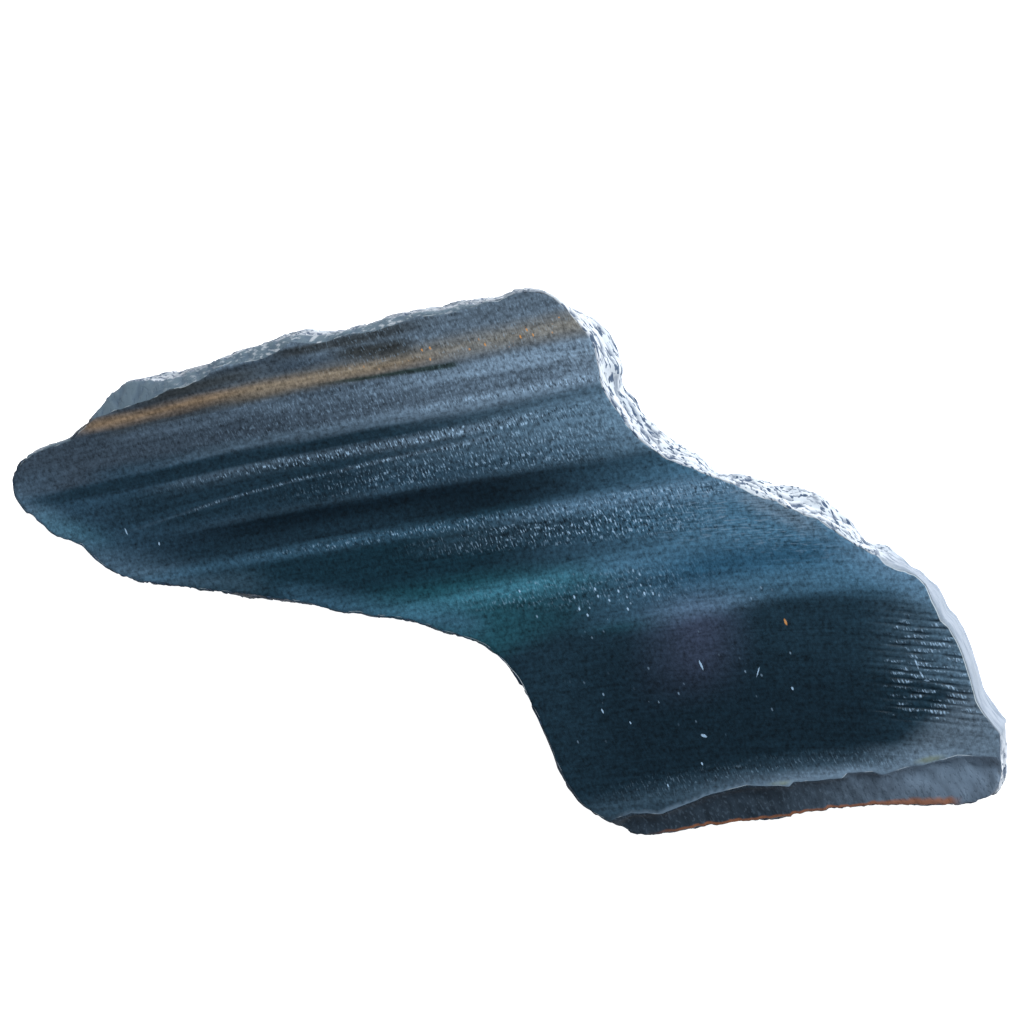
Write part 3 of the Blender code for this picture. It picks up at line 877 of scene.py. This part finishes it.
# Old broken side: pale splintery quartz, the beds showing faintly. Paler where it faces the window
# and darker where it is turned away, partly its own pale crust and partly painted light; painted
# shade in the pits.
side_stone, tree, shader = stone("broken seam side", 0.6)
seam = use(tree, seam_place, {})
flat = {"X": seam["X"], "Height": seam["Height"]}
FLATTER = (1, 1, 1.8)
pressed = add(tree, "VectorMath", {0: seam["Place"], 1: FLATTER}, operation="MULTIPLY")
pressed = pressed.outputs["Vector"]
cut = use(tree, dashes, {"Place": pressed, "Length": 1.5, "Width": 0.45, "Seed": 4})
beds = use(tree, seam_colour, flat)["Color"]
rough = attribute(tree, "rough")
colour = blend(tree, 0.16, light_of("lit_side"), beds)
colour = blend(tree, rough, light_of("smooth side"), colour)
# Painted shade: the sides turned from the window show the beds darkened.
beds = blend(tree, 0.5, beds, cut_light("ink"))
colour = blend(tree, attribute(tree, "lit_side"), beds, colour)
# The sloping shoulder is greyer, with chips along the beds made pale by a painted highlight.
open_side = ramp(tree, attribute(tree, "lit_side"), 0.02, 0.15)
shoulder = ramp(tree, seam["X"], 10, -4, 0.35)
slope = times(tree, attribute(tree, "slope"), times(tree, open_side, shoulder))
colour = blend(tree, slope, colour, light_of("bevel"))
chips = use(tree, streaks, flat | {"Length": 0.9, "Width": 0.28, "Seed": 3})["Value"]
chips = times(tree, ramp(tree, chips, 0.5, 0.66), ramp(tree, seam["X"], -46, -30))
chipped = ramp(tree, seam["X"], 2, -14, 0.3)
chips = times(tree, chips, times(tree, slope, chipped))
colour = blend(tree, times(tree, chips, 0.5), colour, light_of("lit_side"))
# Painted shade in dark strokes between the splinters, stronger to the right, and fewer on the
# shoulder.
gap = ramp(tree, cut["Hatch"], 0.48, 0.4)
right = ramp(tree, seam["X"], 4, 16, 0.8, 1.0)
steep = ramp(tree, slope, 0.3, 1.0, 1.0, 0.15)
gap = times(tree, gap, times(tree, rough, steep))
patchy = use(tree, streaks, flat | {"Length": 5, "Width": 2.2, "Seed": 6})["Value"]
patchy = ramp(tree, patchy, 0.34, 0.52, 0.5)
gap = times(tree, gap, times(tree, right, patchy))
colour = blend(tree, gap, colour, light_of("pit"))
# Painted shade deep in the pits.
colour = blend(tree, times(tree, attribute(tree, "pit"), right), colour, light_of("pit"))
bump = add(tree, "Bump", {"Height": cut["Gap"], "Strength": 0.3, "Distance": -0.1 * MM}).outputs[0]
tree.links.new(colour, shader.inputs["Base Color"])
tree.links.new(bump, shader.inputs["Normal"])

# Fresh break: slate grey, finely hackled, with rust along its lower edge.
fresh_stone, tree, shader = stone("fresh break", 0.55)
seam = use(tree, seam_place, {})
flat = {"X": seam["X"], "Height": seam["Height"]}
solid = {"Place": seam["Place"]}
cut = use(tree, dashes, solid | {"Length": 0.6, "Width": 0.3, "Seed": 8})
# Paler towards the right end: partly the break's own colour, partly painted light.
colour = blend(tree, ramp(tree, seam["X"], 32, 56), light_of("break"), light_of("break, pale"))
patch = use(tree, dashes, solid | {"Length": 3.0, "Width": 1.1, "Seed": 1})["Hatch"]
patch = ramp(tree, patch, 0.35, 0.65, 0.82, 1.18)
patch = add(tree, "CombineColor", {0: patch, 1: patch, 2: patch}).outputs[0]
colour = blend(tree, 1.0, colour, patch, "MULTIPLY")
colour = blend(tree, times(tree, cut["Glint"], 0.15), colour, light_of("mist"))
colour = blend(tree, times(tree, cut["Gap"], 0.25), colour, light_of("night"))
# Painted light towards the right end away from the hem, where the break leans from the window;
# rusty along the hem.
hem_way = attribute(tree, "hem")
pale = ramp(tree, hem_way, 1.2, 3.6, 0.0, 0.3)
pale = times(tree, pale, ramp(tree, seam["X"], 46, 54))
colour = blend(tree, pale, colour, light_of("mist"))
wide = ramp(tree, seam["X"], 44, 52, 0.45, 1.1)
rust = ramp(tree, hem_way, wide, times(tree, wide, 0.4))
rust = times(tree, rust, ramp(tree, seam["X"], 19, 24))
rust = times(tree, rust, ramp(tree, seam["X"], 57, 55))
colour = blend(tree, times(tree, rust, 0.8), colour, light_of("rust"))
bump = add(tree, "Bump", {"Height": cut["Gap"], "Strength": 0.3, "Distance": -0.1 * MM}).outputs[0]
tree.links.new(colour, shader.inputs["Base Color"])
tree.links.new(bump, shader.inputs["Normal"])

for material in (sawn_stone, side_stone, fresh_stone, sawn_stone):
    slab_mesh.materials.append(material)


# ---------------------------------------------------------------------------------------------
# The table under the stone: a plain white board, lit through from below.
# It lies just under the back cut, and isn't part of the stone.

FLOOR_HALF = 2.0
FLOOR_GAP = 0.05 * MM
floor_mesh = bpy.data.meshes.new("floor")
bm = bmesh.new()
bmesh.ops.create_grid(bm, x_segments=1, y_segments=1, size=FLOOR_HALF)
bmesh.ops.translate(bm, verts=bm.verts, vec=(0, 0, -FLOOR_GAP))
bm.to_mesh(floor_mesh)
bm.free()
floor = bpy.data.objects.new("floor", floor_mesh)
bpy.context.collection.objects.link(floor)
floor_material = bpy.data.materials.new("white board")
floor_material.use_nodes = True
board = floor_material.node_tree.nodes["Principled BSDF"]
board.inputs["Base Color"].default_value = (0.85, 0.86, 0.88, 1)
board.inputs["Roughness"].default_value = 0.9
board.inputs["Emission Color"].default_value = (1, 1, 1, 1)
board.inputs["Emission Strength"].default_value = 1.0
floor_mesh.materials.append(floor_material)


# ---------------------------------------------------------------------------------------------
# Light: a soft panel like a window, from the upper right, and a pale room all round.
# The window stands 0.9 m from the stone, 38 degrees above the table.

WINDOW_AWAY = 0.9
WINDOW_AZIMUTH = math.radians(50)
WINDOW_ELEVATION = math.radians(38)

world = bpy.data.worlds.new("room")
bpy.context.scene.world = world
world.use_nodes = True
room = world.node_tree.nodes["Background"]
room.inputs["Color"].default_value = (0.8, 0.9, 1.0, 1)
room.inputs["Strength"].default_value = 0.2

key = bpy.data.lights.new("window", "AREA")
key.shape = "SQUARE"
key.size = 0.5
key.energy = 10.5
key.color = (1.0, 0.98, 0.95)
window = bpy.data.objects.new("window", key)
way = Vector((
    math.cos(WINDOW_ELEVATION) * math.cos(WINDOW_AZIMUTH),
    math.cos(WINDOW_ELEVATION) * math.sin(WINDOW_AZIMUTH),
    math.sin(WINDOW_ELEVATION),
))
window.location = way * WINDOW_AWAY
window.rotation_euler = way.to_track_quat("Z", "Y").to_euler()
bpy.context.collection.objects.link(window)


# ---------------------------------------------------------------------------------------------
# Camera: it looks down on the slab from 330 mm away, leaning over 14 degrees towards the slab's
# upper right side.

LEAN = math.radians(14)
LEAN_WAY = math.radians(25)
AWAY = 330 * MM
TARGET = Vector((2.8, 6.3, 9.0)) * MM
FOCAL_PIXELS = 2750
IMAGE_PIXELS = 1024
SENSOR_WIDTH = 36

back = Vector((
    math.sin(LEAN) * math.cos(LEAN_WAY),
    math.sin(LEAN) * math.sin(LEAN_WAY),
    math.cos(LEAN),
))
up = (Vector((0, 1, 0)) - back * back.y).normalized()
camera_data = bpy.data.cameras.new("camera")
camera = bpy.data.objects.new("camera", camera_data)
turn = Matrix((up.cross(back), up, back)).transposed().to_4x4()
camera.matrix_world = Matrix.Translation(TARGET + back * AWAY) @ turn
camera_data.sensor_width = SENSOR_WIDTH
camera_data.lens = SENSOR_WIDTH * FOCAL_PIXELS / IMAGE_PIXELS
camera_data.clip_start = 0.01
bpy.context.collection.objects.link(camera)
bpy.context.scene.camera = camera
bpy.context.scene.view_settings.view_transform = "Standard"
